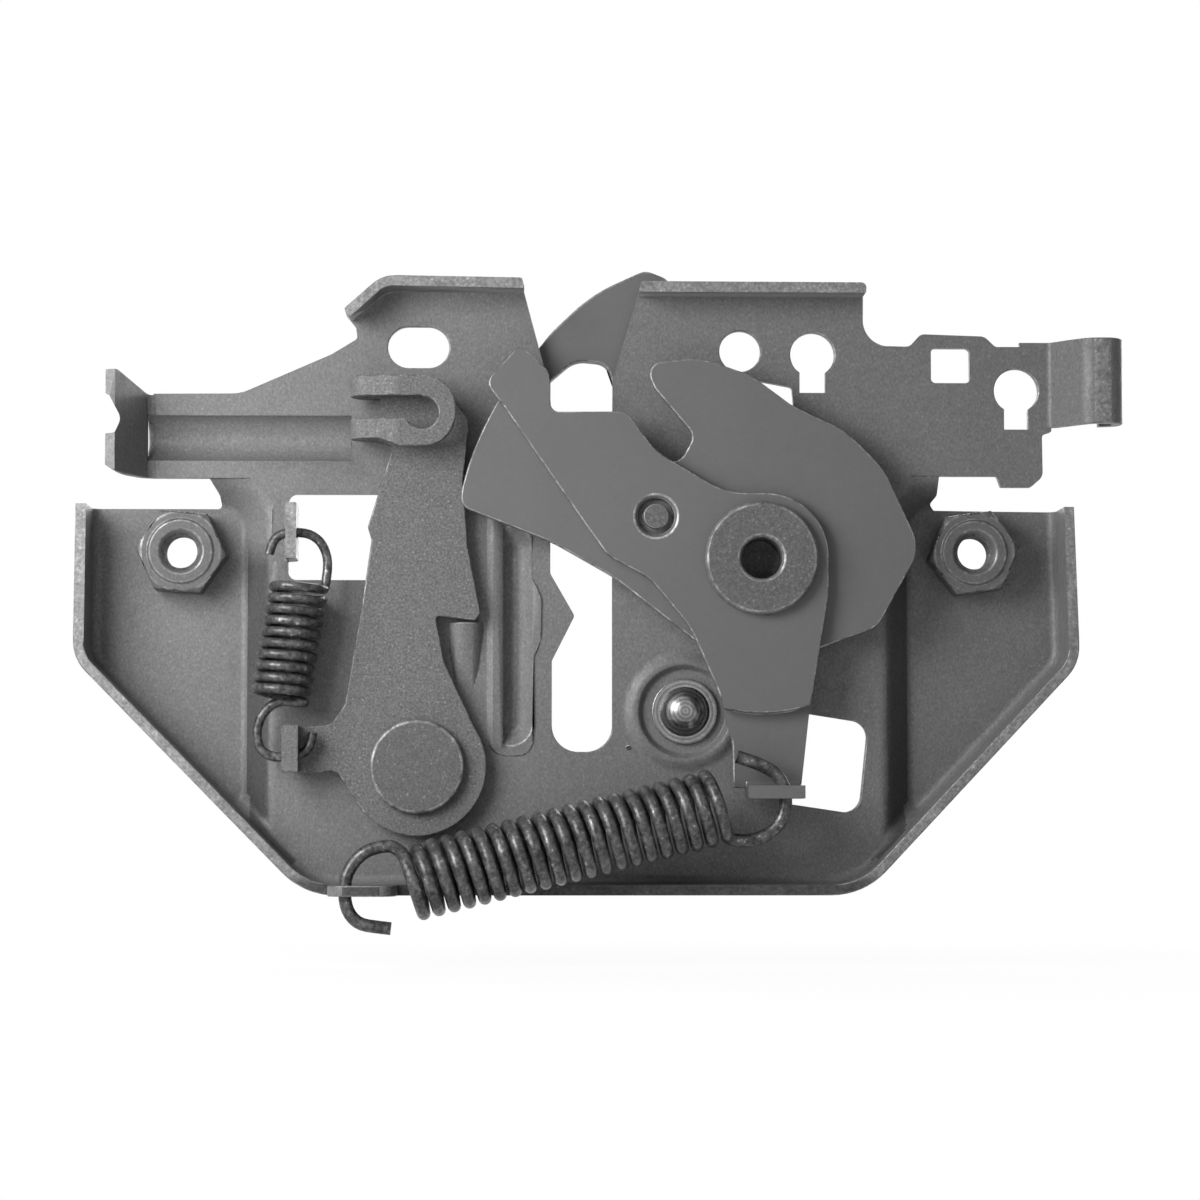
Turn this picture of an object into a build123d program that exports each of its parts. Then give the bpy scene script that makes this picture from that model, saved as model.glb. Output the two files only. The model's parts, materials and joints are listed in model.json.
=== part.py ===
from build123d import *
from math import atan, degrees, radians, tan
import os

# Bonnet latch, millimetres. +X is to the right and +Z up in its fitted position, and -Y faces
# whoever looks at the mechanism. The origin is midway between the two mounting nuts, on the
# wings' back face, which is the face that bolts to the car. The latch is shown popped up: the
# catch is open, and a pull on the release lever would free it from its shut position.

# Sheet metal and the depth of each layer
sheet = 2.0                     # back plate
wing_recess = 5.0               # the main plate stands this far in front of the wings' back face
flange_front = 14.5             # front edge of every flange of the back plate
lever_thickness = 3.0
catch_thickness = 2.6
lifter_thickness = 2.4
hook_thickness = 2.0            # safety hook, behind the main plate
layer_gap = 0.3                 # running clearance between layers that move apart
head_gap = 0.2                  # under a rivet's head, so that its lever turns freely
washer_thickness = 0.5          # thin washer that holds the release lever off the main plate
hook_gap = 0.8                  # between the main plate and the safety hook
bore_clearance = 0.08           # radial, every lever on its bush
wire_clearance = 0.4            # radial, every spring's hook in its hole

main_back = -wing_recess
main_front = main_back - sheet
main_middle = main_back - sheet / 2
lever_back = main_front - washer_thickness
lever_front = lever_back - lever_thickness
catch_back = lever_front - layer_gap
catch_front = catch_back - catch_thickness
lifter_front = catch_front - lifter_thickness
hook_front = main_back + hook_gap
hook_back = hook_front + hook_thickness

# Weld nuts on the front of the wings
nut_pitch = 150.0
nut_height_z = 0.0
nut_across_flats = 15.0
nut_thickness = 6.5
nut_collar, nut_collar_height = 6.2, 0.5
nut_bore = 3.4                  # radius, minor diameter of an M8 thread
nut_mouth = 4.25
nut_spigot = 4.8                # pilot that fills the wing's hole
nut_turn = {"left": 0.0, "right": 5.0}

# Pivots, as X and Z of each axis, with their radii
release_x, release_z = -30.3, -40.6
release_shank, release_bush_radius = 5.0, 6.4
release_head, release_head_height = 8.9, 1.8
release_eye = 13.0              # round end of the lever
catch_x, catch_z = 34.1, -1.7
catch_shank, catch_bush_radius, catch_shoulder = 6.0, 7.6, 10.4
catch_head, catch_head_height = 10.6, 2.0
catch_bore, catch_bore_depth = 3.85, 9.0
safety_x, safety_z = 20.1, -30.1
safety_shank, safety_dome, safety_dome_height = 3.2, 4.7, 3.4
safety_washer_radius, safety_washer_thickness = 6.2, 0.8
safety_eye = 7.5
rear_head_radius, rear_head_height = 8.0, 0.6
boss_radius, boss_rim, boss_height = 12.0, 9.2, 0.9     # soft raised ring round the pin's dish
dish_radius, dish_depth = 7.6, 0.5
link_x, link_z = 14.4, 6.2
link_shank, link_peg, link_recess = 3.4, 2.3, 1.9
link_chamfer = 0.7

# Back plate outline
wing_margin = 19.0              # from each nut's axis out to the wing's edge
wing_half_width = nut_pitch / 2 + wing_margin
wing_top = 8.5
wing_corner_z = -20.5
bottom_z = -64.6
bottom_left_x, bottom_right_x = -51.1, 53.2
crease_x, crease_top = 63.3, 9.2    # where each wing's front face meets its step
crease_corner = 4.5             # the crease turns outwards at the wing's top with this radius
step_angle = 45.0               # slope of the step
bend_inside = 2.0
bend_outside = bend_inside + sheet
flange_root = 2.0               # radius inside and outside, where the flange rises from the tray
slot_left, slot_right = -5.3, 6.4
slot_bottom = -37.7
arm_top, arm_bottom = 30.0, 14.0
arm_end_x = -80.5

# Springs
main_wire, main_coil_radius, main_turns = 2.4, 6.0, 19.5
main_start = Vector(-31.5, -22.8, -62.3)
main_end = Vector(26.0, -19.2, -48.0)
return_wire, return_coil_radius, return_turns = 1.8, 4.8, 10.0
return_depth = -13.3
return_start = Vector(-52.3, return_depth, -6.7)
return_end = Vector(-55.9, return_depth, -27.9)
hairpin_wire, hairpin_radius = 1.0, 3.9
hairpin_foot_x, hairpin_foot_z = 9.5, -37.0
spring_sides = 6                # the wire's section, kept to few faces


def facing(y):
    """Drawing plane at depth y, seen from the front: its x is X and its y is Z."""
    return Plane(origin=(0, y, 0), x_dir=(1, 0, 0), z_dir=(0, -1, 0))


def prism(corners, y_back, y_front):
    """Solid with a closed outline of (x, z, corner radius), from depth y_back forward to y_front."""
    with BuildPart(mode=Mode.PRIVATE) as block:
        with BuildSketch(facing(y_back)):
            with BuildLine():
                FilletPolyline(*[(x, z) for x, z, r in corners], radius=[r for x, z, r in corners], close=True)
            make_face()
        extrude(amount=y_back - y_front)
    return block.part


def disc(x, z, radius, y_back, y_front):
    """Cylinder along Y."""
    with BuildPart(mode=Mode.PRIVATE) as block:
        with BuildSketch(facing(y_back)):
            with Locations((x, z)):
                Circle(radius)
        extrude(amount=y_back - y_front)
    return block.part


def turned(x, z, profile):
    """Solid turned about an axis along Y through (x, z), from a half profile of (radius, y) points."""
    with BuildPart(mode=Mode.PRIVATE) as block:
        with BuildSketch(Plane(origin=(x, 0, z), x_dir=(1, 0, 0), z_dir=(0, 0, 1))):
            with BuildLine():
                Polyline(*profile, close=True)
            make_face()
        revolve(axis=Axis((x, 0, z), (0, 1, 0)))
    return block.part


def section_run(plane, points, length):
    """Solid with a straight-sided section on a plane, run along the plane's normal."""
    with BuildPart(mode=Mode.PRIVATE) as block:
        with BuildSketch(plane):
            with BuildLine():
                Polyline(*points, close=True)
            make_face()
        extrude(amount=length)
    return block.part


def folded(plane, path, bends, thickness, length):
    """Bent sheet: its middle line on a plane, with a radius at each bend, run along the normal."""
    with BuildPart(mode=Mode.PRIVATE) as block:
        with BuildSketch(plane):
            with BuildLine() as middle:
                FilletPolyline(*path, radius=bends)
            trace(middle.line, line_width=thickness)
        extrude(amount=length)
    return block.part


def bent_wire(points, bends, wire):
    """Round wire along points in space, with a radius at each bend."""
    with BuildPart(mode=Mode.PRIVATE) as block:
        with BuildLine() as path:
            FilletPolyline(*points, radius=bends)
        with BuildSketch(Plane(origin=path.line @ 0, z_dir=path.line % 0)):
            RegularPolygon(wire / 2, 8)
        sweep(path=path.line)
    return block.part


def coil(start, end, towards, turns, radius, wire):
    """Right-handed coil from start to end, whose first turn begins on the side that towards points to."""
    axis = (end - start).normalized()
    side = (towards - axis * towards.dot(axis)).normalized()
    height = (end - start).length
    helix = Helix(pitch=height / turns, height=height, radius=radius)
    path = Plane(origin=start, x_dir=side, z_dir=axis).location * helix
    with BuildPart(mode=Mode.PRIVATE) as block:
        with BuildSketch(Plane(origin=path @ 0, z_dir=path % 0)):
            RegularPolygon(wire / 2, spring_sides)
        sweep(path=path, is_frenet=True)
    return block.part


def pressing(outline, inset, y_wing, y_main, y_front, main_bend, wing_bend):
    """Space in front of one face of the pressed sheet, inside its flange.

    Its floor lies at y_main between the two wings and at y_wing over them, with a sloped step that
    turns outwards round each wing's top.
    """
    with BuildPart(mode=Mode.PRIVATE) as space:
        add(prism([(-2 * beyond, -2 * beyond, 1), (-2 * beyond, beyond, 1), (2 * beyond, beyond, 1),
                   (2 * beyond, -2 * beyond, 1)], y_main, y_front))
        for side in (-1, 1):
            with BuildSketch(facing(y_wing)):
                with BuildLine():
                    FilletPolyline((side * beyond, -beyond), (side * (crease_x - inset), -beyond),
                                   (side * (crease_x - inset), crease_top - inset),
                                   (side * beyond, crease_top - inset),
                                   radius=crease_corner, close=True)
                make_face()
            extrude(amount=y_wing - y_main, taper=-step_angle)
        for y, bend in ((y_main, main_bend), (y_wing, wing_bend)):
            level = space.edges().filter_by_position(Axis.Y, y, y)
            fillet([edge for edge in level if 1 < abs(edge.center().X) < 1.5 * beyond], bend)
        add(prism(outline, 5, y_front), mode=Mode.INTERSECT)
        fillet([edge for edge in space.edges() if is_floor_edge(edge, y_main)], flange_root)
    return space.part


def is_floor_edge(edge, y_main):
    """True for an edge that runs round the floor, where the flange rises from it."""
    box = edge.bounding_box()
    rises = box.size.Y > 0.9 * edge.length
    on_crease = abs(box.size.Z - edge.length) < 0.01 and abs(edge.center().X) < crease_x + 5
    return box.min.Y > y_main - 0.2 and box.min.Z < wing_corner_z and not rises and not on_crease


os.makedirs("parts", exist_ok=True)

# Back plate: one pressed sheet. The lower part is a shallow tray, stepped back into a wing on each
# side, with a flange all round. It is the punch's form taken out of the die's form.
beyond = wing_half_width + 8
tray_top = arm_bottom + 2.5
step_inset = sheet * tan(radians(step_angle / 2))
tray_outline = [(-wing_half_width, tray_top, 0.3), (-wing_half_width - 0.4, wing_corner_z, 8),
                (bottom_left_x, bottom_z, 14), (bottom_right_x, bottom_z, 14),
                (wing_half_width, wing_corner_z - 0.7, 8), (wing_half_width - 1.2, tray_top, 0.3)]
punch_outline = [(-wing_half_width + sheet, tray_top + 9, 0.3),
                 (-wing_half_width - 0.4 + sheet, wing_corner_z + 0.8, 6),
                 (bottom_left_x + 0.8, bottom_z + sheet, 12), (bottom_right_x - 0.8, bottom_z + sheet, 12),
                 (wing_half_width - sheet, wing_corner_z + 0.1, 6),
                 (wing_half_width - 1.2 - sheet, tray_top + 9, 0.3)]
top_left_flange = [(-44.2, 45.3, 0.4), (-37.0, 51.7, 6.0), (-10.8, 51.3, 0.4), (-10.2, 49.3, 0.3),
                   (-36.5, 49.7, 4.6), (-43.0, 43.8, 0.3)]
top_right_flange = [(11.8, 50.7, 0.4), (54.2, 50.6, 1.0), (54.1, 48.6, 0.3), (11.2, 48.7, 0.3)]
upper_plate = [(-56.0, -6.0, 0.3), (-56.0, arm_bottom, 0.3), (arm_end_x, arm_bottom, 0.3),
               (arm_end_x, arm_top, 0.3), (-64.0, arm_top + 0.1, 9.0), (-46.8, 37.6, 1.0), (-41.9, 40.6, 0.8),
               (-42.2, 42.8, 0.5), (-44.2, 45.3, 0.4), (-37.0, 51.7, 6.0), (-10.8, 51.3, 0.4), (-6.6, 35.6, 2.0),
               (-5.3, 32.8, 1.5), (-5.3, 20.0, 0.3), (6.4, 20.0, 0.3), (6.5, 33.0, 1.5), (11.8, 50.7, 0.4),
               (54.2, 50.6, 1.0), (54.1, 39.6, 5.0), (63.0, 39.4, 1.5), (65.2, 41.8, 1.5), (77.3, 41.4, 2.0),
               (79.4, 39.4, 1.0), (90.0, 39.4, 0.3), (90.0, 23.2, 0.3), (88.2, 22.6, 0.8), (88.3, 14.6, 2.0),
               (86.0, 12.6, 1.0), (80.3, 12.6, 0.4), (79.6, 14.7, 0.4), (56.0, 14.7, 0.3),
               (56.0, -6.0, 0.3)]
striker_slot = [(slot_left, 60.0, 0.3), (slot_left, -4.0, 1.0), (-0.7, -12.0, 0.8), (-5.0, -20.5, 1.0),
                (-5.0, slot_bottom, 5.0), (slot_right, slot_bottom, 5.0), (slot_right, 60.0, 0.3)]
gap_left = [(-beyond, wing_top, 0.3), (-67.6, wing_top, 0.8), (-68.0, 11.0, 3.0), (-69.8, arm_bottom, 0.8),
            (-71.5, tray_top + 1, 0.3), (-beyond, tray_top + 1, 0.3)]
gap_right = [(beyond, wing_top - 0.4, 0.3), (68.0, wing_top, 0.5), (67.2, 9.7, 0.6), (68.4, 11.2, 1.0),
             (68.7, tray_top + 1, 0.3), (beyond, tray_top + 1, 0.3)]
hook_window = [(-54.8, 11.0, 1.6), (-33.0, 11.0, 1.6), (-33.0, -5.3, 1.6), (-54.8, -5.3, 1.6)]
tail_window = [(37.7, -29.6, 2.0), (54.8, -32.3, 3.2), (53.0, -49.5, 3.2), (37.7, -47.2, 2.0)]
small_window = [(33.0, 33.0, 0.8), (40.6, 31.6, 0.8), (41.0, 26.0, 0.8), (36.0, 26.0, 0.8)]

# Cable arm on the left: a half-round groove lies along it, and its end turns up as a notched ear
groove_z, groove_half_width, groove_depth = 21.6, 4.35, 3.0
groove_radius = (groove_half_width ** 2 + groove_depth ** 2) / (2 * groove_depth)
groove_axis_y = main_front + groove_depth - groove_radius
groove_end_x = -42.9
ear_path = [(-76.0, main_middle), (-81.8, main_middle), (-87.3, -19.0)]
ear_outline = [(-76.0, 29.7, 0.3), (-81.4, 29.7, 2.0), (-86.0, 33.2, 0.6), (-92.0, 33.2, 0.3), (-92.0, 29.0, 0.3),
               (-87.6, 28.6, 1.0), (-85.4, 24.3, 2.8), (-86.4, 21.3, 0.5), (-92.0, 21.0, 0.3), (-92.0, 17.6, 0.3),
               (-86.0, arm_bottom, 4.0), (-76.0, arm_bottom, 0.3)]
# Hook on the right, curled out of the plate
curl_path = [(84.0, main_middle), (90.2, main_middle), (96.4, -14.6), (101.7, -14.6), (101.7, -8.4), (98.6, -8.4)]
curl_bends = [2.5, 3.5, 2.5, 2.5]
curl_top, curl_bottom = 40.2, 24.0
# Tongue for the main spring and tab for the return spring
tongue_left, tongue_right, tongue_reach = -46.4, -33.8, 27.0
tongue_hole_x = -43.2
spring_tab_x, spring_tab_top, spring_tab_bottom, spring_tab_front = -54.8, 8.6, -1.8, -16.8
return_hole_z = 3.0
# Pressed channel beside the slot: sheer on its left, sloped on its right, in a low raised pad
channel_left, channel_right, channel_top, channel_bottom, channel_depth = -14.2, -8.9, 4.5, -36.2, 2.6
channel_slope = 2.8
pad_height, pad_left = 0.35, -17.3
pad_outline = [(pad_left, 9.0, 0.5), (-8.9, 9.0, 0.5), (-8.8, -4.9, 2.0), (-7.0, -8.6, 2.5), (-7.1, -16.7, 2.5),
               (-8.5, -19.8, 2.0), (-8.5, -38.5, 3.0), (pad_left, -38.5, 4.0)]
# Lanced stop that the release lever's ledge comes down on: a round bulge that fades out downwards
stop_x, stop_top, stop_bottom, stop_radius, stop_height = -21.3, -13.4, -27.0, 3.3, 3.0

# Everything round the pin's dish stays on this side of the slot
ring_part = [(slot_right, -10, 0.3), (60, -10, 0.3), (60, -60, 0.3), (slot_right, -60, 0.3)]


def boss_edge(y):
    """Half section of the ring and dish, from the plate at depth y in to the pin's axis."""
    rim_y, dish_y = y - boss_height, y + dish_depth
    soft = (boss_radius - boss_rim) / 2
    return [Bezier((boss_radius, y), (boss_radius - soft, y), (boss_rim + soft, rim_y), (boss_rim, rim_y)),
            Bezier((boss_rim, rim_y), (boss_rim - 0.9, rim_y), (boss_rim - 0.8, dish_y), (dish_radius, dish_y)),
            Line((dish_radius, dish_y), (0, dish_y))]


def pin_boss():
    with BuildPart(mode=Mode.PRIVATE) as ring:
        with BuildSketch(Plane(origin=(safety_x, 0, safety_z), x_dir=(1, 0, 0), z_dir=(0, 0, 1))):
            with BuildLine():
                add(boss_edge(main_front))
                Line((0, main_front + dish_depth), (0, main_back + dish_depth))
                add(boss_edge(main_back))
                Line((boss_radius, main_back), (boss_radius, main_front))
            make_face()
        revolve(axis=Axis((safety_x, 0, safety_z), (0, 1, 0)))
        add(disc(safety_x, safety_z, safety_shank, 0, -20), mode=Mode.SUBTRACT)
    return ring.part


with BuildPart() as base_plate:
    add(pressing(tray_outline, step_inset, 0, main_back, -flange_front, bend_inside, bend_outside))
    add(pressing(punch_outline, 0, -sheet, main_front, -flange_front - 10, bend_outside, bend_inside),
        mode=Mode.SUBTRACT)
    for corners in (gap_left, gap_right):
        add(prism(corners, 5, -flange_front - 5), mode=Mode.SUBTRACT)
    # Upper part, at the main plate's depth, with its two top flanges
    add(prism(upper_plate, main_back, main_front))
    add(prism(top_left_flange, main_back, -flange_front))
    add(prism(top_right_flange, main_back, -flange_front))
    # Ear and curled hook
    add(folded(Plane.XY.offset(10), ear_path, [3.0], sheet, 30) & prism(ear_outline, 5, -30))
    add(folded(Plane.XY.offset(curl_bottom), curl_path, curl_bends, sheet, curl_top - curl_bottom))
    # Raised back of the arm's groove, and of the channel
    with BuildSketch(Plane.YZ.offset(arm_end_x - 1)):
        with Locations((groove_axis_y, groove_z)):
            Circle(groove_radius + sheet)
        with Locations((main_back - 10, groove_z)):
            Rectangle(20, 20, mode=Mode.SUBTRACT)
    extrude(amount=groove_end_x - arm_end_x + 1)
    with BuildSketch(facing(main_back + channel_depth)):
        with Locations(((channel_left + channel_right) / 2, (channel_top + channel_bottom) / 2)):
            SlotOverall(channel_top - channel_bottom + 2 * sheet, channel_right - channel_left + 2 * sheet,
                        rotation=90)
    extrude(amount=channel_depth)
    add(prism(pad_outline, main_front, main_front - pad_height) &
        section_run(Plane.XY.offset(-beyond), [(pad_left, main_front), (pad_left + 1.2, main_front - pad_height),
                                               (slot_left, main_front - pad_height), (slot_left, main_front)],
                    2 * beyond))
    # Openings
    for corners in (striker_slot, hook_window, tail_window, small_window):
        add(prism(corners, 5, -flange_front - 5), mode=Mode.SUBTRACT)
    with BuildSketch(facing(5)):
        with Locations((-30.3, 39.0)):
            SlotOverall(11.6, 7.9)
        with Locations((30.7, 38.4)):
            Circle(3.9)
        for x, z, tail_z, tail_width in ((44.5, 37.8, 30.5, 4.9), (83.3, 31.0, 23.6, 4.6)):
            with Locations((x, z)):
                Circle(4.2)
            with Locations((x, (z + tail_z) / 2)):
                Rectangle(tail_width, z - tail_z)
        with Locations((70.8, 35.8)):
            RectangleRounded(7.4, 6.7, 0.9)
        with Locations((-nut_pitch / 2, nut_height_z), (nut_pitch / 2, nut_height_z)):
            Circle(nut_spigot + bore_clearance)
        with Locations((release_x, release_z)):
            Circle(release_shank)
        with Locations((catch_x, catch_z)):
            Circle(catch_shank)
        with Locations((safety_x, safety_z)):
            Circle(safety_shank)
        with Locations((hairpin_foot_x, hairpin_foot_z)):
            Circle(hairpin_wire / 2 + bore_clearance)
    extrude(amount=30, mode=Mode.SUBTRACT)
    # Groove and channel, pressed in from the front
    with BuildSketch(Plane.YZ.offset(arm_end_x - 1)):
        with Locations((groove_axis_y, groove_z)):
            Circle(groove_radius)
    extrude(amount=groove_end_x - arm_end_x + 1, mode=Mode.SUBTRACT)
    with BuildPart(mode=Mode.PRIVATE) as channel:
        channel_floor = channel_right - channel_slope - channel_left
        with BuildSketch(facing(main_front + channel_depth)):
            with Locations((channel_left + channel_floor / 2, (channel_top + channel_bottom) / 2)):
                SlotOverall(channel_top - channel_bottom - 2 * channel_slope, channel_floor, rotation=90)
        extrude(amount=channel_depth + 1, taper=-degrees(atan(channel_slope / channel_depth)))
        split(bisect_by=Plane.YZ.offset(channel_left), keep=Keep.TOP)
    add(channel.part, mode=Mode.SUBTRACT)
    # Soft raised ring and dish round the safety hook's pin, pressed at a constant thickness
    add(disc(safety_x, safety_z, boss_radius, 0, -20) & prism(ring_part, 0, -20), mode=Mode.SUBTRACT)
    add(pin_boss() & prism(ring_part, 0, -20))
    # Stop, tongue and spring tab
    with BuildPart(mode=Mode.PRIVATE) as stop:
        stop_foot = Vector(stop_x, main_front + stop_radius, stop_bottom)
        stop_axis = Vector(0, -stop_height, stop_top - stop_bottom)
        with BuildSketch(Plane(origin=stop_foot - stop_axis * 0.5, z_dir=stop_axis)):
            Circle(stop_radius)
        extrude(amount=stop_axis.length * 2)
        split(bisect_by=facing(main_front), keep=Keep.TOP)
        split(bisect_by=Plane.XY.offset(stop_top), keep=Keep.BOTTOM)
    add(stop.part)
    with BuildSketch(Plane.XY.offset(bottom_z)):
        with BuildLine():
            FilletPolyline((tongue_left, -4.0), (tongue_left, -tongue_reach), (tongue_right, -tongue_reach),
                           (tongue_right, -4.0), radius=[0.3, 4.0, 4.0, 0.3], close=True)
        make_face()
        with Locations((tongue_hole_x, main_start.Y)):
            Circle(main_wire / 2 + wire_clearance, mode=Mode.SUBTRACT)
    extrude(amount=sheet)
    add(folded(Plane.XY.offset(spring_tab_bottom),
               [(spring_tab_x - 3, main_middle), (spring_tab_x + sheet / 2, main_middle),
                (spring_tab_x + sheet / 2, spring_tab_front)],
               [1.8], sheet, spring_tab_top - spring_tab_bottom))
    with BuildSketch(Plane.YZ.offset(spring_tab_x - 1)):
        with Locations((return_depth, return_hole_z)):
            Circle(return_wire / 2 + wire_clearance)
    extrude(amount=sheet + 2, mode=Mode.SUBTRACT)
base_plate.part.label = "base_plate"
export_step(base_plate.part, "parts/base_plate.step")

# Weld nuts: hexagon with chamfered corners, a low collar and a pilot through the wing
nuts = []
for side, x in (("left", -nut_pitch / 2), ("right", nut_pitch / 2)):
    with BuildPart() as weld_nut:
        with BuildSketch(facing(-sheet)):
            with Locations((x, nut_height_z)):
                RegularPolygon(nut_across_flats / 2, 6, major_radius=False, rotation=nut_turn[side] + 30)
        extrude(amount=nut_thickness)
        nut_front = -sheet - nut_thickness
        corner = nut_across_flats / 2
        add(turned(x, nut_height_z, [(0, 5), (corner + 2.5, 5), (corner + 2.5, nut_front + 1.4),
                                     (corner, nut_front), (0, nut_front)]), mode=Mode.INTERSECT)
        add(turned(x, nut_height_z, [(0, -sheet - 1), (nut_collar, -sheet - 1), (nut_collar, nut_front - 0.3),
                                     (nut_collar - 0.3, nut_front - nut_collar_height),
                                     (0, nut_front - nut_collar_height)]))
        add(disc(x, nut_height_z, nut_spigot, 0, -sheet - 1))
        add(turned(x, nut_height_z, [(0, 1), (nut_bore, 1), (nut_bore, nut_front - nut_collar_height + 0.8),
                                     (nut_mouth, nut_front - nut_collar_height), (nut_mouth, nut_front - 2),
                                     (0, nut_front - 2)]), mode=Mode.SUBTRACT)
    weld_nut.part.label = "weld_nut_" + side
    export_step(weld_nut.part, "parts/weld_nut_" + side + ".step")
    nuts.append(weld_nut)

# Release lever: one thick sheet, with a tab for its spring and a top folded over into the cable claw
lever_body = [(-35.4, 30.5, 2.0), (-25.5, 30.5, 3.0), (-20.6, 24.5, 3.0), (-21.8, 13.5, 6.0), (-20.9, 1.0, 8.0),
              (-18.5, -11.6, 0.6), (-19.4, -13.1, 0.6), (-26.9, -12.2, 0.6), (-25.3, -21.0, 6.0),
              (-19.0, -34.4, 0.2), (-30.3, -45.0, 1.0), (-40.2, -49.2, 0.3), (-43.0, -45.0, 2.0),
              (-45.5, -41.2, 2.0), (-50.0, -41.6, 0.2), (-50.0, -33.0, 0.2), (-46.5, -32.7, 2.5), (-43.9, -29.0, 2.5),
              (-41.0, -12.0, 20.0), (-39.0, 2.0, 0.8), (-39.7, 4.5, 0.8), (-35.4, 18.5, 0.5)]
lever_middle = lever_back - lever_thickness / 2
claw_x, claw_z, claw_hole = -29.4, 25.5, 3.1
claw_slot_bottom, claw_slot_top = 24.5, 28.8
claw_middle = -15.5
claw_path = [(-28.0, lever_middle), (-41.5, lever_middle), (-41.5, -14.0), (-34.0, claw_middle),
             (-20.0, claw_middle)]
claw_outline = [(-46.0, 32.6, 0.3), (-23.1, 32.6, 6.3), (-23.1, 19.2, 6.3), (-33.5, 19.2, 2.5), (-37.5, 20.8, 2.5),
                (-46.0, 20.8, 0.3)]
lever_tab_x, lever_tab_front = -53.8, -17.0
lever_hole_z = -38.6

with BuildPart() as release_lever:
    add(prism(lever_body, lever_back, lever_front))
    add(disc(release_x, release_z, release_eye, lever_back, lever_front))
    add(folded(Plane.XY.offset(17), claw_path, [2.4, 2.4, 6.0], lever_thickness, 18) & prism(claw_outline, 0, -25))
    add(folded(Plane.XY.offset(-41.6), [(-48.0, lever_middle), (lever_tab_x, lever_middle),
                                        (lever_tab_x, lever_tab_front)], [2.6], lever_thickness, 8.6))
    # The cable's nipple sits in the round hole, and the cable leaves to the left
    add(disc(claw_x, claw_z, claw_hole, lever_front - 1, -25), mode=Mode.SUBTRACT)
    with BuildSketch(facing(lever_front - 1)):
        with Locations(((claw_x - 46) / 2, (claw_slot_bottom + claw_slot_top) / 2)):
            Rectangle(46 + claw_x, claw_slot_top - claw_slot_bottom)
    extrude(amount=15, mode=Mode.SUBTRACT)
    with BuildSketch(facing(0)):
        with Locations((-41.5, (claw_slot_bottom + claw_slot_top) / 2)):
            Rectangle(8.0, claw_slot_top - claw_slot_bottom)
        with Locations((release_x, release_z)):
            Circle(release_bush_radius + bore_clearance)
    extrude(amount=20, mode=Mode.SUBTRACT)
    with BuildSketch(Plane.YZ.offset(lever_tab_x - 3)):
        with Locations((return_depth, lever_hole_z)):
            Circle(return_wire / 2 + wire_clearance)
    extrude(amount=6, mode=Mode.SUBTRACT)
release_lever.part.label = "release_lever"
export_step(release_lever.part, "parts/release_lever.step")

# Catch: a flat hook with the striker's mouth, and a lobe that the release lever holds down
lobe_radius = 57.6
catch_outline = [(-22.4, 8.3, 2.6), (-5.0, 1.5, 30.0), (6.6, -5.1, 20.0), (27.0, -21.0, 8.0), (44.0, -18.8, 10.0),
                 (56.0, -14.4, 5.0), (64.2, 0.4, 7.0), (57.4, 15.4, 14.0), (50.0, 22.8, 20.0), (40.8, 26.9, 20.0),
                 (32.4, 33.1, 14.0), (22.8, 36.4, 14.0), (12.3, 35.2, 2.4), (14.2, 30.6, 2.0), (21.8, 21.6, 2.6),
                 (19.0, 16.6, 2.6), (12.0, 17.2, 6.0), (-6.0, 24.5, 10.0), (-14.4, 30.6, 1.0), (-20.4, 22.0, 20.0)]

with BuildPart() as catch_plate:
    add(prism(catch_outline, catch_back, catch_front))
    add(disc(catch_x, catch_z, lobe_radius, 10, -30), mode=Mode.INTERSECT)
    add(disc(catch_x, catch_z, catch_bush_radius + bore_clearance, 0, -30), mode=Mode.SUBTRACT)
    add(disc(link_x, link_z, link_peg, 0, -30), mode=Mode.SUBTRACT)
catch_plate.part.label = "catch_plate"
export_step(catch_plate.part, "parts/catch_plate.step")

# Lifter: lies on the catch, carries the striker's seat, and steps back to a tail with the spring's tab
lifter_outline = [(-11.2, 38.4, 1.2), (-17.6, 31.4, 2.2), (-14.0, 26.6, 20.0), (1.2, 4.6, 12.0), (5.4, -1.2, 5.0),
                  (13.2, -5.4, 8.0), (20.8, -14.6, 20.0), (26.0, -26.4, 20.0), (28.8, -36.0, 10.0),
                  (28.9, -44.6, 0.3), (41.6, -44.6, 0.3), (43.4, -28.5, 20.0), (46.7, -8.0, 20.0), (46.8, 10.6, 11.8),
                  (27.5, 10.6, 14.0), (14.4, 18.4, 12.0), (8.8, 25.9, 2.6), (-5.3, 25.8, 1.6), (-5.6, 33.4, 3.0)]
joggle_radius = 28.9            # arc about the catch's pivot where the tail steps back
tail_back, tail_front = catch_back, catch_back - lifter_thickness
tail_tab_left, tail_tab_right, tail_tab_front = 31.2, 41.6, -23.6
main_hole_x = 38.1
below_joggle = [(20, -20, 1), (50, -20, 1), (50, -60, 1), (20, -60, 1)]

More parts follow.
